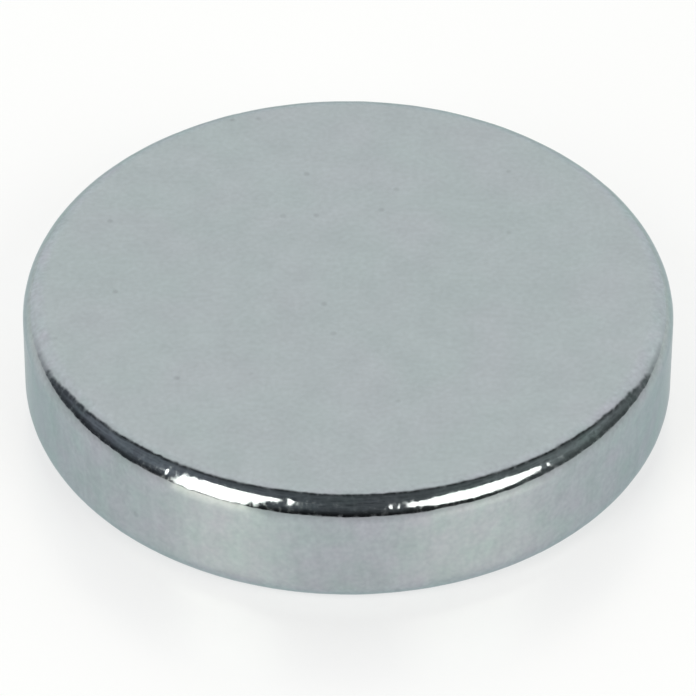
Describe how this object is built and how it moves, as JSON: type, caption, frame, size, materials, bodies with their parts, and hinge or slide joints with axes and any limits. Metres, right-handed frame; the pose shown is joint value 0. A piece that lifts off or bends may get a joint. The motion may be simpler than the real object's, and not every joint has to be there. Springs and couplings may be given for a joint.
{
  "type": "disc magnet",
  "caption": "Plain round disc magnet with flat pole faces, rounded rims and a bright nickel plating all over.",
  "frame": {"origin": "centre of the bottom pole face", "axes": "+Z along the disc's axis, out of the top pole face; X and Y are equivalent, and the disc lies on its bottom face"},
  "size_m": [0.015, 0.015, 0.003],
  "materials": {
    "nickel_plating": "bright nickel plating with a faint tumbled mottle"
  },
  "bodies": {
    "root": {"disc_magnet": "nickel_plating"}
  },
  "joints": []
}
